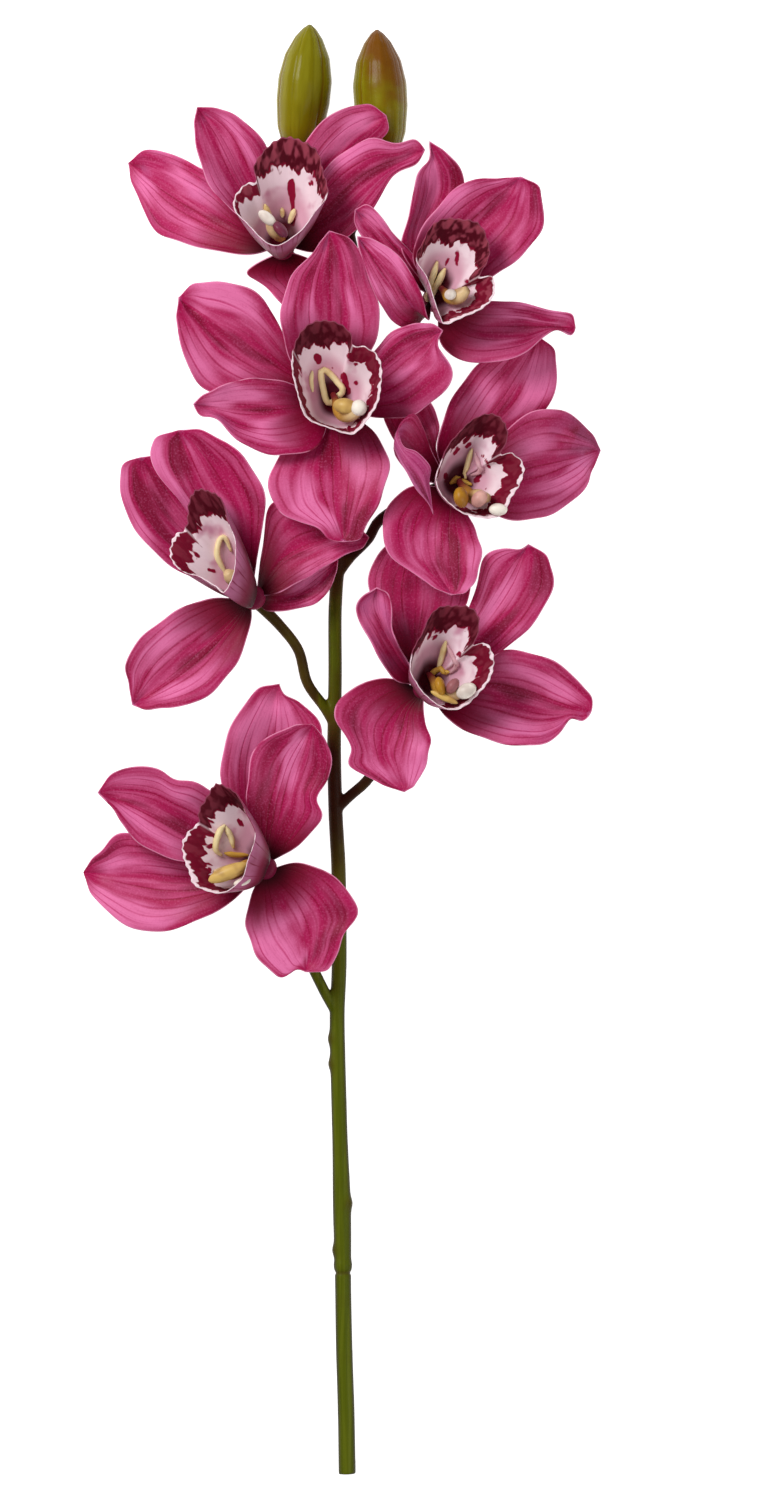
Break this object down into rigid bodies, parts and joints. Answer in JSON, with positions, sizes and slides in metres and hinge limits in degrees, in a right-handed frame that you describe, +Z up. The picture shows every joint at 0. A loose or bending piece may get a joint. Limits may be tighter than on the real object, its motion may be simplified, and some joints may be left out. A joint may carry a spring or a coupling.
{
  "type": "cymbidium orchid stem",
  "caption": "Cut spray of a cymbidium orchid, laid flat: open magenta flowers with spotted lips and closed green buds on one curved stem.",
  "frame": {"origin": "on the surface that the spray lies on, under the middle of its length and width", "axes": "+Y along the stem from its cut end towards the buds, +X to the right seen from above, +Z up, the way the flowers face"},
  "size_m": [0.2084, 0.5821, 0.0571],
  "materials": {
    "petal": "satin waxy petal, magenta with darker lengthwise veins and a thin pale rim",
    "lip": "velvety pale pink lip with a broad burgundy band and spots, white at the rim of the side lobes",
    "callus": "smooth waxy, pale yellow",
    "column": "smooth waxy, cream to gold with a pale anther cap",
    "bud": "satin olive green, lengthwise veins, brown flush at the tip",
    "stem": "satin green stem, brown flush and small scars"
  },
  "bodies": {
    "root": {"flower_1_petals": "petal", "flower_1_lip": "lip", "flower_1_callus": "callus", "flower_1_column": "column", "flower_2_petals": "petal", "flower_2_lip": "lip", "flower_2_callus": "callus", "flower_2_column": "column", "flower_3_petals": "petal", "flower_3_lip": "lip", "flower_3_callus": "callus", "flower_3_column": "column", "flower_4_petals": "petal", "flower_4_lip": "lip", "flower_4_callus": "callus", "flower_4_column": "column", "flower_5_petals": "petal", "flower_5_lip": "lip", "flower_5_callus": "callus", "flower_5_column": "column", "flower_6_petals": "petal", "flower_6_lip": "lip", "flower_6_callus": "callus", "flower_6_column": "column", "flower_7_petals": "petal", "flower_7_lip": "lip", "flower_7_callus": "callus", "flower_7_column": "column", "bud_1": "bud", "bud_2": "bud", "stem": "stem"}
  },
  "joints": []
}
